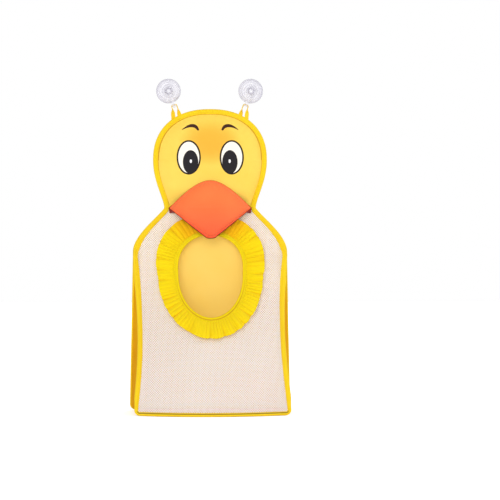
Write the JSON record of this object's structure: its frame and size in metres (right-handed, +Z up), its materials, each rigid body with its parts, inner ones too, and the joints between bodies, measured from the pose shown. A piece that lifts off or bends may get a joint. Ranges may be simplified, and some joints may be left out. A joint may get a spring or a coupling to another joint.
{
  "type": "bath toy organizer",
  "caption": "Duck-shaped mesh bag for bath toys with a frilled elastic opening, a padded head and beak, and ribbon loops that hang on suction-cup hooks.",
  "frame": {"origin": "under the middle of the base panel, level with its underside", "axes": "+Z up along the bag's height, +Y towards the wall behind it, +X to the right seen from the front"},
  "size_m": [0.2356, 0.1472, 0.4853],
  "materials": {
    "yellow_cloth": "plain woven cloth, matt",
    "face_cloth": "brushed cloth over foam, printed",
    "foam": "soft open foam",
    "white_mesh": "open knitted net",
    "edge_tape": "woven tape, stitched",
    "frill_cloth": "thin gathered cloth with a slight sheen",
    "elastic": "covered elastic",
    "beak_cloth": "padded cloth, matt",
    "beak_lining_cloth": "plain cloth, matt",
    "ribbon": "narrow ribbon",
    "clear_plastic": "clear hard plastic",
    "clear_vinyl": "clear soft vinyl"
  },
  "bodies": {
    "bag": {"back_panel": "yellow_cloth", "head_front_panel": "face_cloth", "head_foam": "foam", "front_mesh_panel": "white_mesh", "left_gusset": "yellow_cloth", "right_gusset": "yellow_cloth", "bottom_panel": "yellow_cloth", "head_binding": "edge_tape", "front_binding": "edge_tape", "back_binding": "edge_tape", "neck_seam_tape": "edge_tape", "opening_casing": "frill_cloth", "opening_elastic": "elastic", "opening_frill": "frill_cloth", "beak_cover": "beak_cloth", "beak_filling": "foam", "beak_lining": "beak_lining_cloth", "left_loop": "ribbon", "right_loop": "ribbon"},
    "left_hanger": {"left_hook": "clear_plastic"},
    "right_hanger": {"right_hook": "clear_plastic"},
    "left_cup": {"left_suction_cup": "clear_vinyl"},
    "right_cup": {"right_suction_cup": "clear_vinyl"}
  },
  "joints": [
    {"name": "left_hook_swing", "type": "hinge", "parent": "bag", "child": "left_hanger", "pos_m": [-0.05403, 0.05365, 0.44998], "axis": [0.9397, 0, 0.342], "range_deg": [-70, 90]},
    {"name": "right_hook_swing", "type": "hinge", "parent": "bag", "child": "right_hanger", "pos_m": [0.05403, 0.05365, 0.44998], "axis": [0.9397, 0, -0.342], "range_deg": [-70, 90]},
    {"name": "left_cup_turn", "type": "hinge", "parent": "left_hanger", "child": "left_cup", "pos_m": [-0.06036, 0.05365, 0.46736], "axis": [0, 1, 0], "continuous": true},
    {"name": "right_cup_turn", "type": "hinge", "parent": "right_hanger", "child": "right_cup", "pos_m": [0.06036, 0.05365, 0.46736], "axis": [0, 1, 0], "continuous": true}
  ]
}
